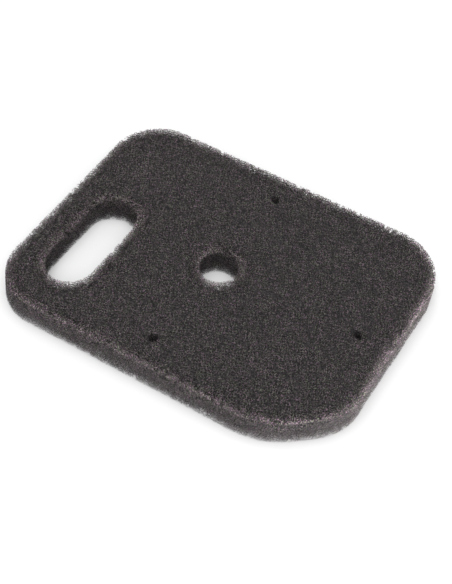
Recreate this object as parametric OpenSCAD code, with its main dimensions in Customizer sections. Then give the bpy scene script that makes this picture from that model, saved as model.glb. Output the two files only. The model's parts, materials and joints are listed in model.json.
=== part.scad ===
// Flat foam filter element for a small engine's air cleaner: one die-cut slab of open-cell foam,
// with a duct slot near one end, a stud hole in the middle and three small pin holes.
// The slab lies on Z = 0. +X runs along its length, away from the slot, and +Y across its width.

/* [Slab] */
// Length of the slab, from the slot end to the cut-off end
slab_length = 100; // [95:0.5:110]
// Width of the slab
slab_width = 75; // [72:0.5:85]
// Thickness of the foam sheet that the slab is cut from
slab_thickness = 8; // [5:0.5:15]

/* [Corners] */
// Radius of the two corners at the slot end
slot_end_radius = 13.5; // [4:0.5:18]
// Radius of the square corner at the other end
far_end_radius = 16; // [4:0.5:20]
// How much of the length the slanting corner cut takes
corner_cut_length = 16; // [10:0.5:24]
// How much of the width the slanting corner cut takes
corner_cut_width = 13.5; // [10:0.5:20]
// Radius that blends the corner cut into the long side
cut_to_side_radius = 22; // [5:0.5:28]
// Radius that blends the corner cut into the short end
cut_to_end_radius = 14.5; // [5:0.5:20]

/* [Duct slot] */
// Length of the slot, across the slab and over its round ends
slot_length = 34; // [24:0.5:38]
// Width of the slot
slot_width = 14.5; // [8:0.5:16]
// Distance from the slot end of the slab to the middle of the slot
slot_from_end = 14.75; // [13:0.25:18]
// Distance from the side with the corner cut to the middle of the slot
slot_from_side = 26.75; // [24:0.25:32]

/* [Stud hole] */
// Diameter of the round hole in the middle
stud_hole_diameter = 11.5; // [6:0.5:16]
// Distance from the slot end of the slab to the hole's axis
stud_from_end = 48.75; // [44:0.25:54]
// Distance from the side with the corner cut to the hole's axis
stud_from_side = 37.25; // [32:0.25:42]

/* [Pin holes] */
// Diameter of the three pin holes
pin_hole_diameter = 2; // [1.5:0.1:3]
// Distance from the stud hole to the pin hole near the full long side
back_pin_reach = 30; // [26:0.25:32]
// Distance from the stud hole to the pin hole near the side with the corner cut
front_pin_reach = 29.25; // [25:0.25:31]
// How far that pin hole sits nearer to the slot than the stud hole does
front_pin_shift = 1.5; // [0:0.25:3]
// Distance from the stud hole to the pin hole near the cut-off end
end_pin_reach = 41.75; // [36:0.25:44]

/* [Hidden] */
$fn = 96;

// How far a cutter runs past the faces that it cuts through
overrun = 1;
// The slab's own corner, measured from the middle of its underside
slab_origin = [-slab_length / 2, -slab_width / 2, 0];

// The outline before its corners are rounded, as the die's maker would draw it.
sharp_corners = [
    [0, 0],
    [slab_length - corner_cut_length, 0],
    [slab_length, corner_cut_width],
    [slab_length, slab_width],
    [0, slab_width]
];
corner_radii = [
    slot_end_radius,
    cut_to_side_radius,
    cut_to_end_radius,
    far_end_radius,
    slot_end_radius
];

stud_hole_at = [stud_from_end, stud_from_side];
pin_holes_at = [
    stud_hole_at + [0, back_pin_reach],
    stud_hole_at + [-front_pin_shift, -front_pin_reach],
    stud_hole_at + [end_pin_reach, 0]
];

function unit(v) = v / norm(v);

// What a rounded corner takes off the sharp one: a kite from the corner to the two points where
// the arc starts and ends, less the arc's circle. The kite's tip stands clear of the corner.
module corner_waste(corner, before, after, radius) {
    to_before = unit(before - corner);
    to_after = unit(after - corner);
    half_angle = acos(to_before * to_after) / 2;
    inward = unit(to_before + to_after);
    centre = corner + inward * radius / sin(half_angle);
    reach = radius / tan(half_angle);
    difference() {
        polygon([
            corner - inward * overrun,
            corner + to_before * reach,
            centre,
            corner + to_after * reach
        ]);
        translate(centre)
            circle(r = radius);
    }
}

module slab_outline() {
    last = len(sharp_corners) - 1;
    difference() {
        polygon(sharp_corners);
        for (i = [0 : last])
            corner_waste(
                sharp_corners[i],
                sharp_corners[i == 0 ? last : i - 1],
                sharp_corners[i == last ? 0 : i + 1],
                corner_radii[i]
            );
    }
}

module round_cutter(at, diameter) {
    translate([at.x, at.y, -overrun])
        cylinder(d = diameter, h = slab_thickness + 2 * overrun);
}

// A slot's cutter is its two round ends and the straight stretch between them.
module slot_cutter() {
    straight = slot_length - slot_width;
    for (side = [-1, 1])
        round_cutter([slot_from_end, slot_from_side + side * straight / 2], slot_width);
    translate([slot_from_end - slot_width / 2, slot_from_side - straight / 2, -overrun])
        cube([slot_width, straight, slab_thickness + 2 * overrun]);
}

module foam_element() {
    color("#403c3c")
        translate(slab_origin)
            difference() {
                linear_extrude(height = slab_thickness)
                    slab_outline();
                slot_cutter();
                round_cutter(stud_hole_at, stud_hole_diameter);
                for (at = pin_holes_at)
                    round_cutter(at, pin_hole_diameter);
            }
}

foam_element();
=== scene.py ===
"""Looks of the foam filter element: an open-cell foam slab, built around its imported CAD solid.

The slab is made of two things. A dark core stands for the inside of the foam, where no light gets
through. Around it lies real open-cell foam: a network of struts that meet four at a time and end at
the faces of the slab. Towards the walls, the slot and the hole the core is bevelled away, so the
edges are open cells all through and light shines through them, as it does through real foam.

Lengths inside the script are in millimetres. They become metres when a mesh is made.
"""

import itertools
import json
import math

import bpy
import numpy as np
from mathutils import Matrix, Vector


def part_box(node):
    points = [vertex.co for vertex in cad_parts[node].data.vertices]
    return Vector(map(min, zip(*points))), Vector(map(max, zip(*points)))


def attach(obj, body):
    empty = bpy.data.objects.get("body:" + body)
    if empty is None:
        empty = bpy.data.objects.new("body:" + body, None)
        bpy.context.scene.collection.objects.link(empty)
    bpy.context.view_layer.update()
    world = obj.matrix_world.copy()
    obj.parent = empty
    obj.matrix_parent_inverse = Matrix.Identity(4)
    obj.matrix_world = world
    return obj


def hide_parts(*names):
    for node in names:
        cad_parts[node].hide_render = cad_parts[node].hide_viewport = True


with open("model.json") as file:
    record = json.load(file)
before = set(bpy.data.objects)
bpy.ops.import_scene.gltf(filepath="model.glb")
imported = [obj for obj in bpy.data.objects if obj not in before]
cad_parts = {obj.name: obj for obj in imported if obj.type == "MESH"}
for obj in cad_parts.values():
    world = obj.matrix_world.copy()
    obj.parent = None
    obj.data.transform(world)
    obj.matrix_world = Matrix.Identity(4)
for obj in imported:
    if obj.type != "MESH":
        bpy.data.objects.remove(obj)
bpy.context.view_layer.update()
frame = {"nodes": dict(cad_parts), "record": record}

MM = 0.001
rng = np.random.default_rng(7)

# The foam's cells
CELL_PITCH = 0.74  # edge of the cubic block that holds two cells
SEED_JITTER = 0.2  # how far seeds stray from the regular lattice, as a share of the pitch
WARP, WARP_LENGTHS = 0.28, (2.4, 6)  # how far slow waves bend the lattice, and how long they are
LATTICE_TURN = (0.17, 0.12, 0.5)  # radians about X, Y and Z, so that no face cuts it along its rows
RELAX_TURNS, RELAX_SHARE = 3, 0.5  # how often, and how far, a node moves to the middle of its neighbours

# The struts. A node's size is the distance from its middle to its corners.
LOW_STRUT_SIZE, HIGH_STRUT_SIZE = 0.026, 0.054  # at the underside, and at the top
BACK_GAIN = 0.6  # how much larger they are at the back wall, as a share
TOP_STRUT_SIZE = 0.105  # on the top face, where struts are frayed and swollen
FRAYED_DEPTH, FRAYED_FADE = 0.45, 0.2  # how deep that goes, and over what depth it ends
FRAYED_INSIDE, FRAYED_BAND = 0.9, 1.6  # how far inside the walls it starts, and how wide it fades in
STRUT_VARIETY = 0.3  # how much one node's size differs from the next
CROWDED = 0.7  # the largest node, as a share of its shortest strut

# The slab's outside
WALL_STANDS_OFF = 0.6  # how far frayed ends stand outside the cut
OPENING_STANDS_OFF = 0.45  # the same in the slot and the hole
TOP_DRIFT, BOTTOM_DRIFT = (0, 0.15), (-0.2, -0.4)  # how far the cut is off the CAD outline, so it leans
TOP_ARRIS_RADIUS, BOTTOM_ARRIS_RADIUS = 0.25, 0.4
EDGE_WAVE, EDGE_WAVE_LENGTHS = 0.07, (9, 26)  # how far the cut walls wander
CUT_WAVE, CUT_WAVE_LENGTHS = 0.025, (1.2, 3)  # how rough the cut is
PIN_RADIUS = 1.2  # the pin holes, a little torn
HIGHLIGHT_REACH = (1.15, 0.65)  # how far the painted highlight on the arris reaches across the top, and down the wall
OUTLINE_HIGHLIGHT = 0.7  # how strong the painted highlight on the outer arris is, where the rims of the openings are 1
RIM_WIDTH = 3  # how far from an opening its rim ends

# The core
TOP_SKIN_DEPTH = 0.3  # how deep the open cells are over the core
WALL_SKIN_DEPTH = 0.8
PIN_SKIN_DEPTH = 0.15
UNDERSIDE_SKIN_DEPTH = 0.05
TOP_BEVEL, BOTTOM_BEVEL = 3.5, 3.8  # an arris is open cells where its two depths add up to less than this
CORE_GRID = 0.42  # step of the grid that the core's surface is drawn from
ROOTED = 0.1  # how deep struts run into the core

# The pieces
TILES = (8, 5)  # the open cells are cut into this many pieces along X and Y
MAP_SLANT = (0.35, 0.59)  # how far the flat map of a piece shifts with height, so that walls get a width
FLOOR_GAP = 0.02  # how far the floor lies below the slab

lowest, highest = (np.array(corner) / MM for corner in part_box("foam_element"))
THICKNESS = highest[2] - lowest[2]


# ---- The slab's outline, read from the CAD solid ----

FLAT = 0.01  # points nearer than this to a plane or a line lie on it
PIN_REACH = 2  # edges nearer than this to a pin's axis belong to its hole


def underside_edges(node):
    """The edges round the flat underside of a CAD node, as an array of pairs of points in plan."""
    mesh = node.data
    mesh.calc_loop_triangles()
    points = np.empty(len(mesh.vertices) * 3)
    mesh.vertices.foreach_get("co", points)
    points = points.reshape(-1, 3) / MM
    corners = np.empty(len(mesh.loop_triangles) * 3, np.int32)
    mesh.loop_triangles.foreach_get("vertices", corners)
    triangles = points[corners.reshape(-1, 3)]
    flat = (np.abs(triangles[:, :, 2] - lowest[2]) < FLAT).all(axis=1)
    uses = {}
    for triangle in triangles[flat][:, :, :2]:
        ends = [tuple(np.round(point, 3)) for point in triangle]
        for start, end in zip(ends, ends[1:] + ends[:1]):
            edge = tuple(sorted((start, end)))
            uses[edge] = uses.get(edge, 0) + 1
    return np.array([edge for edge, count in uses.items() if count % 2 and edge[0] != edge[1]])


def on_outside(edges):
    """Which edges lie on the slab's convex outside, with no point beyond the line through them."""
    ways = edges[:, 1] - edges[:, 0]
    ways = ways / np.linalg.norm(ways, axis=1, keepdims=True)
    arms = edges.reshape(1, -1, 2) - edges[:, :1]
    sides = ways[:, :1] * arms[:, :, 1] - ways[:, 1:] * arms[:, :, 0]
    return (sides > -FLAT).all(axis=1) | (sides < FLAT).all(axis=1)


class PlanDistance:
    """How far inside closed outlines a point lies in plan, from a grid that is read bilinearly."""

    STEP = 0.25
    MARGIN = 4.0  # how far the grid reaches past the slab's box
    LAST = 1.001  # reads stop just short of the last grid line

    def __init__(self, edges):
        self.corner = lowest[:2] - self.MARGIN
        size = np.ceil((highest[:2] + self.MARGIN - self.corner) / self.STEP).astype(int) + 1
        xs = self.corner[0] + self.STEP * np.arange(size[0])
        ys = self.corner[1] + self.STEP * np.arange(size[1])
        x, y = np.meshgrid(xs, ys, indexing="ij")
        nearest = np.full(x.shape, np.inf)
        inside = np.zeros(x.shape, bool)
        for (x0, y0), (x1, y1) in edges:
            dx, dy = x1 - x0, y1 - y0
            along = np.clip(((x - x0) * dx + (y - y0) * dy) / (dx * dx + dy * dy), 0, 1)
            nearest = np.minimum(nearest, np.hypot(x - x0 - along * dx, y - y0 - along * dy))
            if y0 != y1:
                inside ^= ((y0 > y) != (y1 > y)) & (x < x0 + (y - y0) * dx / dy)
        self.grid = np.where(inside, nearest, -nearest)

    def __call__(self, x, y):
        u = np.clip((x - self.corner[0]) / self.STEP, 0, self.grid.shape[0] - self.LAST)
        v = np.clip((y - self.corner[1]) / self.STEP, 0, self.grid.shape[1] - self.LAST)
        i, j = u.astype(int), v.astype(int)
        u, v = u - i, v - j
        near = self.grid[i, j] * (1 - u) + self.grid[i + 1, j] * u
        far = self.grid[i, j + 1] * (1 - u) + self.grid[i + 1, j + 1] * u
        return near * (1 - v) + far * v


class Waves:
    """A smooth random field made of a few sine waves, mostly between -1 and 1."""

    USUAL_PEAK = 1.6  # the sum that becomes 1, in standard deviations

    def __init__(self, shortest, longest, count=12):
        directions = rng.normal(size=(count, 3))
        directions /= np.linalg.norm(directions, axis=1, keepdims=True)
        lengths = rng.uniform(shortest, longest, count)
        self.pull = directions * (2 * math.pi / lengths)[:, None]
        self.phase = rng.uniform(0, 2 * math.pi, count)
        self.share = math.sqrt(2 / count) / self.USUAL_PEAK

    def __call__(self, x, y, z):
        total = np.zeros(np.broadcast(x, y, z).shape)
        for pull, phase in zip(self.pull, self.phase):
            total += np.sin(pull[0] * x + pull[1] * y + pull[2] * z + phase)
        return total * self.share


# ---- The slab as fields of depth ----

wall_edges = underside_edges(frame["nodes"]["foam_element"])
pin_places = np.array([
    mount["pos_m"][:2] for mount in frame["record"]["mounts"] if mount["name"].endswith("pin_hole")
]) / MM
to_pins = np.linalg.norm(wall_edges.mean(axis=1)[:, None] - pin_places, axis=2).min(axis=1)
outside = on_outside(wall_edges)
inside_outline = PlanDistance(wall_edges[outside])
inside_openings = PlanDistance(wall_edges[~outside & (to_pins > PIN_REACH)])
wall_wander = Waves(*EDGE_WAVE_LENGTHS)
cut_wander = Waves(*CUT_WAVE_LENGTHS)


def depths(x, y, z):
    """Depths below the walls, the top, the underside and the pin holes, once drift and waves are in."""
    rise = (z - lowest[2]) / THICKNESS
    drift_x, drift_y = (low + (high - low) * rise for low, high in zip(BOTTOM_DRIFT, TOP_DRIFT))
    ragged = CUT_WAVE * cut_wander(x, y, z)
    outline = inside_outline(x - drift_x, y - drift_y) + WALL_STANDS_OFF
    openings = OPENING_STANDS_OFF - inside_openings(x - drift_x, y - drift_y)
    wall = np.minimum(outline, openings) + ragged + EDGE_WAVE * wall_wander(x, y, z)
    pin = np.full(np.shape(wall), np.inf)
    for place in pin_places:
        radius = np.hypot(x - place[0], y - place[1])
        pin = np.minimum(pin, radius - PIN_RADIUS)
    return wall, highest[2] - z + ragged, z - lowest[2], pin


def rounded(a, b, radius):
    """The depth under two faces that meet in an arris of this radius."""
    corner = radius - np.hypot(np.maximum(radius - a, 0), np.maximum(radius - b, 0))
    return np.where((a < radius) & (b < radius), corner, np.minimum(a, b))


def slab_depth(x, y, z):
    """Depth below the slab's nearest face: above 0 inside the foam."""
    wall, top, under, pin = depths(x, y, z)
    depth = np.minimum(rounded(wall, top, TOP_ARRIS_RADIUS), rounded(wall, under, BOTTOM_ARRIS_RADIUS))
    return np.minimum(depth, pin)


def arris_highlight(x, y, z):
    """How much painted highlight the foam gets: up to 1 on the top arris, and 0 away from it."""
    wall, top, _, _ = depths(x, y, z)
    across = np.maximum(wall - WALL_STANDS_OFF, 0)
    strength = np.where(inside_openings(x, y) > -RIM_WIDTH, 1, OUTLINE_HIGHLIGHT)
    return strength * np.exp(-((across / HIGHLIGHT_REACH[0]) ** 2 + (top / HIGHLIGHT_REACH[1]) ** 2))


def core_depth(x, y, z):
    """Depth inside the dark core: above 0 where no light gets through."""
    wall, top, under, pin = depths(x, y, z)
    top_bevel = (wall + top - TOP_BEVEL) * math.sqrt(0.5)
    under_bevel = (wall + under - BOTTOM_BEVEL) * math.sqrt(0.5)
    limits = (
        wall - WALL_SKIN_DEPTH,
        top - TOP_SKIN_DEPTH,
        under - UNDERSIDE_SKIN_DEPTH,
        pin - PIN_SKIN_DEPTH,
        top_bevel,
        under_bevel,
    )
    return np.minimum.reduce(limits)


# ---- The open cells ----
#
# The cells are the Voronoi cells of seeds that stray from a body-centred lattice. Four cells meet at
# each node, and each of a node's four struts runs between the three cells that are left when one of
# the four is taken away: strut k leaves out cell k. A node is a tetrahedron with corner k towards cell
# k, so strut k starts at the face opposite corner k, and corner by corner it joins the same three cells
# at both its ends.

RING = np.array([(1, 2, 3), (0, 3, 2), (3, 0, 1), (2, 1, 0)])  # the corners where each strut starts
FIRST_NEIGHBOURS, ALL_NEIGHBOURS = 8, 11  # squared lattice distances within which cells may touch
SEED_MARGIN = 2.2  # how far round the slab seeds are laid, in pitches
SEED_REACH = 1.15  # how far outside the open cells a seed can still matter, in pitches
NODE_REACH = 0.85  # the farthest that a node lies from its seeds, in pitches
FLAT_VOLUME = 1e-6  # three arms that span less than this meet in no node
LEAST_DEPTH = 0.02  # nodes nearer to a face than this are cut away
ROOT_SHARE = 0.8  # how much of a strut is kept where its far node is left out
LEAST_STUB = 0.5  # a strut is cut off at its node if it is shorter than this, in node sizes
TOUCH_SLACK = 1e-9  # a seed ties with a node's own four within this much
KEY_SPAN = 2048  # more than the lattice steps from one end of the slab to the other
SEED_BITS = 20  # enough bits for the number of any seed
CHUNK = 6000  # seeds handled at a time


def lattice_offsets(reach):
    """Steps to the body-centred lattice points within this squared distance, in the order of their keys."""
    span = range(-math.isqrt(reach), math.isqrt(reach) + 1)
    steps = [
        (i, j, k) for i in span for j in span for k in span
        if i % 2 == j % 2 == k % 2 and 0 < i * i + j * j + k * k <= reach
    ]
    return np.array(steps)


def lattice_keys(cells):
    """One number for each whole-number place, in a fixed order."""
    x, y, z = (cells + KEY_SPAN // 2).T
    return (x * KEY_SPAN + y) * KEY_SPAN + z


def foam_seeds():
    """The lattice places of the seeds in and just round the slab, sorted by key, and where they lie."""
    turn = np.array(
        Matrix.Rotation(LATTICE_TURN[2], 3, "Z")
        @ Matrix.Rotation(LATTICE_TURN[1], 3, "Y")
        @ Matrix.Rotation(LATTICE_TURN[0], 3, "X")
    )
    step = CELL_PITCH / 2
    middle = (lowest + highest) / 2
    half = (highest - lowest) / 2 + SEED_MARGIN * CELL_PITCH
    reach = np.ceil(np.abs(turn.T) @ half / step).astype(int)
    cells = np.stack(np.meshgrid(*[np.arange(-n, n + 1) for n in reach], indexing="ij"), axis=-1)
    cells = cells.reshape(-1, 3)
    parity = cells % 2
    cells = cells[(parity == parity[:, :1]).all(axis=1)]
    places = cells @ turn.T * step
    near = (np.abs(places) < half).all(axis=1)
    cells, places = cells[near], places[near] + middle
    bend = [Waves(*WARP_LENGTHS) for axis in range(3)]
    warp = np.stack([wave(*places.T) for wave in bend], axis=1) * WARP
    jitter = rng.uniform(-1, 1, places.shape) * SEED_JITTER * CELL_PITCH
    return cells, places + warp + jitter


def foam_nodes():
    """Where cells meet four at a time: the nodes' places, and the four seeds of each in rising order."""
    cells, seeds = foam_seeds()
    keys = lattice_keys(cells)
    reach = SEED_REACH * CELL_PITCH
    wanted = np.flatnonzero((slab_depth(*seeds.T) > -reach) & (core_depth(*seeds.T) < reach))
    every = lattice_offsets(ALL_NEIGHBOURS)
    touching = (every ** 2).sum(axis=1) <= FIRST_NEIGHBOURS
    later = np.flatnonzero(touching & (lattice_keys(every) > lattice_keys(np.zeros((1, 3), int))))
    triples = np.array(list(itertools.combinations(range(len(later)), 3)))
    nearest_first = np.argsort((every ** 2).sum(axis=1), kind="stable")
    far_away = seeds.max(axis=0, keepdims=True) * 10  # stands in for a missing neighbour
    padded = np.concatenate([seeds, far_away])
    places, owners = [], []
    for start in range(0, len(wanted), CHUNK):
        own = wanted[start:start + CHUNK]
        asked = lattice_keys((cells[own][:, None] + every).reshape(-1, 3))
        found = np.minimum(np.searchsorted(keys, asked), len(keys) - 1)
        found = np.where(keys[found] == asked, found, len(keys)).reshape(len(own), -1)
        arms = padded[found] - seeds[own][:, None]
        halves = (arms ** 2).sum(axis=2) / 2
        near, near_halves = arms[:, later], halves[:, later]
        a, b, c = (near[:, triples[:, k]] for k in range(3))
        ha, hb, hc = (near_halves[:, triples[:, k], None] for k in range(3))
        across = np.cross(b, c)
        volume = (a * across).sum(axis=2, keepdims=True)
        volume = np.where(np.abs(volume) < FLAT_VOLUME, np.nan, volume)
        centre = (ha * across + hb * np.cross(c, a) + hc * np.cross(a, b)) / volume
        close = (centre ** 2).sum(axis=2) < (NODE_REACH * CELL_PITCH) ** 2
        row, triple = np.nonzero(close)
        centre = centre[row, triple]
        # A node is no nearer to any other seed than to its own four.
        inside = np.ones(len(row), bool)
        for k in nearest_first:
            row, triple, centre = row[inside], triple[inside], centre[inside]
            limit = halves[row, k] * (1 + TOUCH_SLACK) + TOUCH_SLACK
            inside = (arms[row, k] * centre).sum(axis=1) < limit
        row, triple = row[inside], triple[inside]
        places.append(seeds[own][row] + centre[inside])
        others = found[row[:, None], later[triples[triple]]]
        owners.append(np.concatenate([own[row][:, None], others], axis=1))
    return np.concatenate(places), np.concatenate(owners)


def node_mates(owners):
    """For each node and slot, the node and slot at the strut's other end, or -1."""
    triples = []
    for slot in range(4):
        first, second, third = (owners[:, k] for k in range(4) if k != slot)
        triples.append((((first << SEED_BITS) + second) << SEED_BITS) + third)
    keys = np.stack(triples, axis=1).ravel()
    order = np.argsort(keys, kind="stable")
    same = keys[order[1:]] == keys[order[:-1]]
    first, second = order[:-1][same], order[1:][same]
    mates = np.full(len(keys), -1)
    mates[first], mates[second] = second, first
    mates = mates.reshape(-1, 4)
    return np.where(mates < 0, -1, mates // 4), mates % 4


class Faces:
    """Triangles and quads gathered in arrays, each with the tile that it belongs to."""

    def __init__(self):
        self.points, self.count = [], 0
        self.faces = {3: [], 4: []}
        self.tiles = {3: [], 4: []}

    def add_points(self, points):
        """Adds points and returns the number of the first."""
        start = self.count
        self.points.append(points.reshape(-1, 3))
        self.count += len(self.points[-1])
        return start

    def add(self, faces, tiles, flipped):
        """Adds faces of one kind and their tiles, with the flipped ones turned round."""
        faces = np.where(flipped[:, None], faces[:, ::-1], faces)
        self.faces[faces.shape[1]].append(faces)
        self.tiles[faces.shape[1]].append(tiles)

    def tile(self, number):
        """The points and faces of one tile, renumbered."""
        points = np.concatenate(self.points)
        chosen = {}
        for size in (3, 4):
            faces = np.concatenate(self.faces[size])
            chosen[size] = faces[np.concatenate(self.tiles[size]) == number]
        used = np.unique(np.concatenate([chosen[3].ravel(), chosen[4].ravel()]))
        rename = np.zeros(len(points), np.int64)
        rename[used] = np.arange(len(used))
        return points[used], rename[chosen[3]], rename[chosen[4]]


def relaxed(places, mates, joined_up):
    """The nodes' places once each has moved towards the middle of its neighbours a few times."""
    for turn in range(RELAX_TURNS):
        pull = places[mates].mean(axis=1) - places
        places = places + np.where(joined_up[:, None], RELAX_SHARE * pull, 0)
    return places


def node_sizes(places, shortest_struts):
    """How thick each node is: thin on the walls, thicker higher up, and swollen on the top face."""
    wall, top, under, _ = depths(*places.T)
    frayed = np.clip((FRAYED_DEPTH - top) / FRAYED_FADE, 0, 1)
    frayed *= np.clip((wall - FRAYED_INSIDE) / FRAYED_BAND, 0, 1)
    sizes = LOW_STRUT_SIZE + (HIGH_STRUT_SIZE - LOW_STRUT_SIZE) * under / THICKNESS
    sizes = sizes * (1 + BACK_GAIN * np.maximum(places[:, 1], 0) / highest[1])
    sizes = sizes + (TOP_STRUT_SIZE - sizes) * frayed
    sizes = sizes * (1 + STRUT_VARIETY * rng.uniform(-1, 1, len(places)))
    return np.minimum(sizes, CROWDED * shortest_struts)


def tile_numbers(places):
    """The piece that each place belongs to."""
    share = (places[:, :2] - lowest[:2]) / (highest[:2] - lowest[:2])
    spots = np.clip((share * TILES).astype(int), 0, np.array(TILES) - 1)
    return spots[:, 0] * TILES[1] + spots[:, 1]


def far_corners(slot, mate, mate_slot):
    """The points at the far ends of the struts in one slot that meet the ring of points at this end."""
    far = np.zeros((len(mate), 3), int)
    for back in range(4):
        there = [k for k in range(4) if k != back]
        partners = [there[sorted(RING[slot]).index(corner)] for corner in RING[slot]]
        match = (mate >= 0) & (mate_slot == back)
        far[match] = 4 * mate[match, None] + partners
    return far


def cell_network():
    """The skin of open cells, as Faces."""
    places, owners = foam_nodes()
    mates, mate_slots = node_mates(owners)
    joined_up = (mates >= 0).all(axis=1)
    arms = places[mates] - places[:, None]
    mirrored = np.linalg.det(arms[:, 1:] - arms[:, :1]) > 0
    places = relaxed(places, mates, joined_up)
    depth = slab_depth(*places.T)
    chosen = np.flatnonzero((depth > LEAST_DEPTH) & (core_depth(*places.T) < ROOTED) & joined_up)
    number = np.arange(len(chosen))
    rank = np.full(len(places), -1)
    rank[chosen] = number

    # From here on, every array has one row for each chosen node.
    beside, beside_slots, mirrored = mates[chosen], mate_slots[chosen], mirrored[chosen]
    here = places[chosen]
    arms = places[beside] - here[:, None]
    lengths = np.linalg.norm(arms, axis=2)
    ways = arms / lengths[:, :, None]
    sizes = node_sizes(here, lengths.min(axis=1))
    offsets = -ways * sizes[:, None, None]
    tile = tile_numbers(here)
    net = Faces()
    net.add_points(here[:, None] + offsets)
    corner_points = net.points[0]

    for slot in range(4):
        ring = 4 * number[:, None] + RING[slot]
        mate = rank[beside[:, slot]]
        joined = mate >= 0
        far = far_corners(slot, mate, beside_slots[:, slot])
        same_tile = joined & (tile[mate] == tile)
        whole = same_tile & (number < mate)
        for k in range(3):
            n = (k + 1) % 3
            quad = np.stack([ring[:, k], ring[:, n], far[:, n], far[:, k]], axis=1)
            net.add(quad[whole], tile[whole], mirrored[whole])

        # Struts that run on into the next tile
        crossing = joined & ~same_tile
        owner = crossing & (number < mate)
        add_stub(net, ring[owner], corner_points[far[owner]], tile[owner], mirrored[owner])
        guest = crossing & (number > mate)
        net.add(ring[guest], tile[guest], mirrored[guest])

        # Struts that are cut off at a face, or end in the core
        start, end = depth[chosen], depth[beside[:, slot]]
        cut = np.where(end < 0, start / np.maximum(start - end, LEAST_DEPTH), ROOT_SHARE) * lengths[:, slot]
        short = ~joined & (cut < LEAST_STUB * sizes)
        net.add(ring[short], tile[short], mirrored[short])
        stub = ~joined & ~short
        way = ways[stub, slot][:, None]
        ring_offsets = offsets[stub][:, RING[slot]]
        flat = ring_offsets - (ring_offsets * way).sum(axis=2, keepdims=True) * way
        ends = here[stub][:, None] + way * cut[stub][:, None, None] + flat
        add_stub(net, ring[stub], ends, tile[stub], mirrored[stub])
    return net


def add_stub(net, ring, ends, tile, mirrored):
    """Adds struts that start at rings of the net's points and end, capped, at three points each."""
    start = net.add_points(ends)
    last = start + 3 * np.arange(len(ends))
    for k in range(3):
        n = (k + 1) % 3
        net.add(np.stack([ring[:, k], ring[:, n], last + n, last + k], axis=1), tile, mirrored)
    net.add(np.stack([last, last + 1, last + 2], axis=1), tile, mirrored)


# ---- The core ----

def surface_nets(field, corner, step):
    """The closed surface where a field on a grid passes 0, as points and quads."""
    inside = field > 0
    size = np.array(field.shape) - 1
    total = np.zeros((*size, 3))
    count = np.zeros(size)
    grid = np.stack(np.meshgrid(*[np.arange(n) for n in size], indexing="ij"), axis=-1)

    def shifted(values, offset):
        return values[tuple(slice(o, o + n) for o, n in zip(offset, size))]

    for axis in range(3):
        others = [k for k in range(3) if k != axis]
        for du in (0, 1):
            for dv in (0, 1):
                near = [0, 0, 0]
                near[others[0]], near[others[1]] = du, dv
                far = list(near)
                far[axis] = 1
                a, b = shifted(field, near), shifted(field, far)
                crossed = (a > 0) != (b > 0)
                share = np.where(crossed, a / np.where(crossed, a - b, 1), 0)
                point = np.stack([np.full(a.shape, float(near[k])) for k in range(3)], axis=-1)
                point[..., axis] = share
                total += np.where(crossed[..., None], point, 0)
                count += crossed
    active = count > 0
    number = np.full(size, -1)
    number[active] = np.arange(active.sum())
    points = (grid[active] + total[active] / count[active][:, None]) * step + corner

    quads = []
    for axis in range(3):
        u, v = (axis + 1) % 3, (axis + 2) % 3
        low = [slice(1, n) for n in size]
        low[axis] = slice(0, size[axis])
        high = list(low)
        high[axis] = slice(1, size[axis] + 1)
        a, b = inside[tuple(low)], inside[tuple(high)]
        where = np.argwhere(a != b)
        where = where + [0 if k == axis else 1 for k in range(3)]
        leaving = inside[tuple(where.T)]
        ring = []
        for du, dv in ((-1, -1), (0, -1), (0, 0), (-1, 0)):
            place = where.copy()
            place[:, u] += du
            place[:, v] += dv
            ring.append(number[tuple(place.T)])
        ring = np.stack(ring, axis=1)
        quads.append(np.where(leaving[:, None], ring, ring[:, ::-1]))
    return points, np.concatenate(quads)


def core_surface():
    """The core's points and quads."""
    axes = [
        np.arange(low - 2 * CORE_GRID, high + 2 * CORE_GRID, CORE_GRID)
        for low, high in zip(lowest, highest)
    ]
    field = core_depth(*np.meshgrid(*axes, indexing="ij"))
    corner = np.array([axis[0] for axis in axes])
    return surface_nets(field, corner, CORE_GRID)


# ---- Meshes ----

def mesh_object(name, points, triangles, quads, material, highlight=None):
    """A smooth-shaded object from arrays of points in millimetres and faces, with a slanted flat map.

    The last argument is how much painted highlight the foam gets at each point, for the material to read.
    """
    mesh = bpy.data.meshes.new(name)
    corners = np.concatenate([triangles.ravel(), quads.ravel()])
    sizes = np.concatenate([np.full(len(triangles), 3), np.full(len(quads), 4)])
    starts = np.concatenate([[0], np.cumsum(sizes)[:-1]])
    mesh.vertices.add(len(points))
    mesh.vertices.foreach_set("co", (points * MM).astype(np.float32).ravel())
    mesh.loops.add(len(corners))
    mesh.loops.foreach_set("vertex_index", corners.astype(np.int32))
    mesh.polygons.add(len(sizes))
    mesh.polygons.foreach_set("loop_start", starts.astype(np.int32))
    mesh.polygons.foreach_set("use_smooth", np.ones(len(sizes), bool))
    across = points[corners, 0] + MAP_SLANT[0] * points[corners, 2]
    along = points[corners, 1] + MAP_SLANT[1] * points[corners, 2]
    place = np.stack([across - across.min(), along - along.min()], axis=1)
    flat_map = mesh.uv_layers.new(name="OFBake").data
    flat_map.foreach_set("uv", (place / place.max()).astype(np.float32).ravel())
    # The painted highlight on the arris is stored at each point.
    if highlight is not None:
        mesh.attributes.new("highlight", "FLOAT", "POINT").data.foreach_set("value", highlight.astype(np.float32))
    mesh.update(calc_edges=True)
    mesh.validate()
    mesh.materials.append(material)
    made = bpy.data.objects.new(name, mesh)
    bpy.context.scene.collection.objects.link(made)
    return made


# ---- Materials ----

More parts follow.
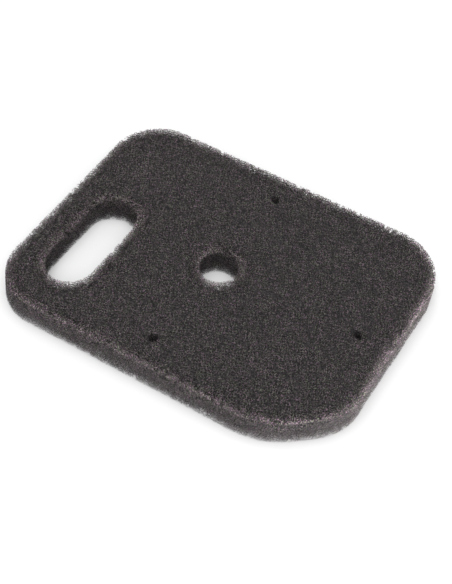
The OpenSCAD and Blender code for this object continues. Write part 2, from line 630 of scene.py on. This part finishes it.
class Nodes:
    """Adds and links the nodes of one material."""

    def __init__(self, name):
        self.material = bpy.data.materials.new(name)
        self.material.use_nodes = True
        self.tree = self.material.node_tree
        self.tree.nodes.clear()
        output = self.add("OutputMaterial")
        self.shader = self.add("BsdfPrincipled")
        self.link(self.shader.outputs[0], output.inputs["Surface"])
        self.place = self.add("TexCoord").outputs["Object"]

    def add(self, kind, **settings):
        node = self.tree.nodes.new("ShaderNode" + kind)
        for name, value in settings.items():
            setattr(node, name, value)
        return node

    def link(self, source, target):
        self.tree.links.new(source, target)

    def noise(self, size, detail=2.0, roughness=0.5):
        """Noise with blobs of about this size in millimetres."""
        node = self.add("TexNoise")
        node.inputs["Scale"].default_value = 1 / (size * MM)
        node.inputs["Detail"].default_value = detail
        node.inputs["Roughness"].default_value = roughness
        self.link(self.place, node.inputs["Vector"])
        return node.outputs["Fac"]

    def ramp(self, source, *stops):
        """The colour for a value, from (value, colour) pairs where a single number is a grey."""
        node = self.add("ValToRGB")
        ramp = node.color_ramp
        while len(ramp.elements) < len(stops):
            ramp.elements.new(0.5)
        for element, (position, colour) in zip(ramp.elements, stops):
            element.position = position
            element.color = (*np.broadcast_to(colour, 3), 1)
        self.link(source, node.inputs["Fac"])
        return node.outputs["Color"]

    def product(self, first, *others):
        """Colours multiplied together."""
        for other in others:
            node = self.add("Mix", data_type="RGBA", blend_type="MULTIPLY")
            node.inputs["Factor"].default_value = 1
            self.link(first, node.inputs["A"])
            self.link(other, node.inputs["B"])
            first = node.outputs["Result"]
        return first

    def constants(self, **values):
        """Sets constants on the shader's own sockets, with _ for each space in a socket's name."""
        for name, value in values.items():
            self.shader.inputs[name.replace("_", " ")].default_value = value


# A noise is the size of its blobs in millimetres, its detail and its roughness. Stops are for a ramp.
# Pale specks on near-black struts: partly random grain in the foam's tone, partly painted glints. The core
# gets the same specks.
SPECK_GLINT_NOISE = (0.29, 1.0, 0.5)
SPECK_GLINT_DARK, SPECK_GLINT_PALE = 0.505, 0.595  # the noise's values where the specks and painted glints start, and where they are palest
SPECK_GLINT_STOPS = ((SPECK_GLINT_DARK, (0.003, 0.003, 0.003)), (SPECK_GLINT_PALE, (0.19, 0.164, 0.161)))
PATCH_NOISE = (5, 3.0, 0.7)
PATCH_STOPS = ((0.3, 0.8), (0.7, 1.2))
TINT_NOISE = (0.45, 1.0)
TINT_STOPS = ((0.4, (1.22, 0.86, 1.27)), (0.6, (0.85, 1.1, 0.79)))
# A painted highlight on the arris, where the struts catch more light than further in.
HIGHLIGHT_STOPS = ((0.0, 1.0), (1.0, 3.2))
STRUT_SHEEN_SIZE, STRUT_SHEEN_STOPS = 0.8, ((0.3, 0.42), (0.7, 0.62))

PIT_SIZE, PIT_DEPTH = 0.8 * CELL_PITCH, 0.3  # the open cells drawn on the core, in millimetres
# Painted shade: the core is dark for the depth of the foam where no light gets through, and darker still in
# the middle of each pit.
PIT_SHADE_STOPS = ((0.1, (0.010, 0.009, 0.010)), (0.75, (0.040, 0.036, 0.036)))
# The same specks on the core, partly painted glints.
CORE_SPECK_GLINT_STOPS = ((SPECK_GLINT_DARK, 0.3), (SPECK_GLINT_PALE, 1.7))
CORE_SHEEN_SIZE, CORE_SHEEN_STOPS = 0.5, ((0.3, 0.7), (0.7, 0.95))


def strut_material():
    """Charcoal foam rubber, slightly glossy, with pale specks that are partly painted glints, slow patches,
    faint tints and a painted highlight on the arris.
    """
    n = Nodes("foam_struts")
    # Pale specks, partly painted glints.
    speck_glints = n.ramp(n.noise(*SPECK_GLINT_NOISE), *SPECK_GLINT_STOPS)
    patches = n.ramp(n.noise(*PATCH_NOISE), *PATCH_STOPS)
    tints = n.ramp(n.noise(*TINT_NOISE), *TINT_STOPS)
    # The arris gets a painted highlight, from a value stored at each point.
    lit_arris = n.ramp(n.add("Attribute", attribute_name="highlight").outputs["Fac"], *HIGHLIGHT_STOPS)
    n.link(n.product(speck_glints, patches, tints, lit_arris), n.shader.inputs["Base Color"])
    n.link(n.ramp(n.noise(STRUT_SHEEN_SIZE), *STRUT_SHEEN_STOPS), n.shader.inputs["Roughness"])
    n.constants(Specular_IOR_Level=0.5)
    return n.material


def core_material():
    """The foam's depth in painted shade, darker still in the pits where cells open onto it."""
    n = Nodes("foam_core")
    cells = n.add("TexVoronoi", feature="F1")
    cells.inputs["Scale"].default_value = 1 / (PIT_SIZE * MM)
    n.link(n.place, cells.inputs["Vector"])
    # Painted shade, darkest in the middle of the pits.
    pit_shade = n.ramp(cells.outputs["Distance"], *PIT_SHADE_STOPS)
    # The struts' specks, partly painted glints.
    core_speck_glints = n.ramp(n.noise(*SPECK_GLINT_NOISE), *CORE_SPECK_GLINT_STOPS)
    n.link(n.product(pit_shade, core_speck_glints), n.shader.inputs["Base Color"])
    n.link(n.ramp(n.noise(CORE_SHEEN_SIZE), *CORE_SHEEN_STOPS), n.shader.inputs["Roughness"])
    bump = n.add("Bump")
    bump.inputs["Strength"].default_value = 0.8
    bump.inputs["Distance"].default_value = PIT_DEPTH * MM
    n.link(cells.outputs["Distance"], bump.inputs["Height"])
    n.link(bump.outputs["Normal"], n.shader.inputs["Normal"])
    n.constants(Specular_IOR_Level=0.3)
    return n.material


def floor_material():
    """A pale matt surface."""
    n = Nodes("studio_floor")
    n.constants(Base_Color=(0.8, 0.8, 0.8, 1), Roughness=0.9, Specular_IOR_Level=0.1)
    return n.material


# ---- The studio ----

CAMERA_AZIMUTH, CAMERA_ELEVATION, CAMERA_ROLL = 28.8, 50.09, 3.34  # in degrees
CAMERA_DISTANCE = 333.6
CAMERA_AIM = (3.28, -3.74, 4.0)
CAMERA_LENS = 77.35
NEAREST_VIEW = 0.01  # in metres

FLOOR_HALF = 8  # half the floor's side in metres
WORLD_LIGHT = 0.7
LIGHTS = (
    # name, place and size in metres, power in watts
    ("low_card", (0.5, -0.08, 0.005), (0.9, 0.009), 11.2),
    ("front_softbox", (0.31, -0.56, 0.77), (0.6, 0.6), 4.8),
    ("top_softbox", (0, 0, 1), (0.7, 0.7), 4.0),
)


def add_camera():
    """The camera, which looks at its aim from an azimuth and an elevation, and is rolled a little."""
    aim = Vector(CAMERA_AIM) * MM
    a, e = math.radians(CAMERA_AZIMUTH), math.radians(CAMERA_ELEVATION)
    back = Vector((math.sin(a) * math.cos(e), -math.cos(a) * math.cos(e), math.sin(e)))
    camera = bpy.data.objects.new("camera", bpy.data.cameras.new("camera"))
    bpy.context.scene.collection.objects.link(camera)
    camera.data.lens = CAMERA_LENS
    camera.data.clip_start = NEAREST_VIEW
    roll = Matrix.Rotation(math.radians(CAMERA_ROLL), 4, "Z")
    look = back.to_track_quat("Z", "Y").to_matrix().to_4x4()
    camera.matrix_world = Matrix.Translation(aim + back * CAMERA_DISTANCE * MM) @ look @ roll
    bpy.context.scene.camera = camera


def add_floor():
    """The pale floor that the slab lies on."""
    corners = np.array([(-1, -1, 0), (1, -1, 0), (1, 1, 0), (-1, 1, 0)]) * FLOOR_HALF / MM
    corners[:, 2] = lowest[2] - FLOOR_GAP
    floor = mesh_object("floor", corners, np.empty((0, 3), int), np.array([[0, 1, 2, 3]]), floor_material())


def add_light():
    """Soft white light from all round, two soft boxes, and a low card that grazes the walls."""
    world = bpy.data.worlds.new("studio")
    world.use_nodes = True
    world.node_tree.nodes["Background"].inputs["Color"].default_value = (1, 1, 1, 1)
    world.node_tree.nodes["Background"].inputs["Strength"].default_value = WORLD_LIGHT
    bpy.context.scene.world = world
    for name, place, size, power in LIGHTS:
        lamp = bpy.data.lights.new(name, "AREA")
        lamp.shape = "RECTANGLE"
        lamp.size, lamp.size_y = size
        lamp.energy = power
        light = bpy.data.objects.new(name, lamp)
        bpy.context.scene.collection.objects.link(light)
        towards = Vector(place).to_track_quat("Z", "Y").to_matrix().to_4x4()
        light.matrix_world = Matrix.Translation(place) @ towards


# ---- The pieces ----

add_camera()
add_floor()
add_light()
bpy.context.scene.view_settings.view_transform = "Standard"

core_points, core_quads = core_surface()
core = mesh_object("foam_core", core_points, np.empty((0, 3), int), core_quads, core_material())
pieces = [core]
strut = strut_material()
net = cell_network()
for number in range(TILES[0] * TILES[1]):
    points, triangles, quads = net.tile(number)
    # How much painted highlight each point on the arris gets.
    highlight = arris_highlight(*points.T)
    pieces.append(mesh_object(f"foam_cells_{number + 1}", points, triangles, quads, strut, highlight))

for piece in pieces:
    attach(piece, "root")
    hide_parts("foam_element")
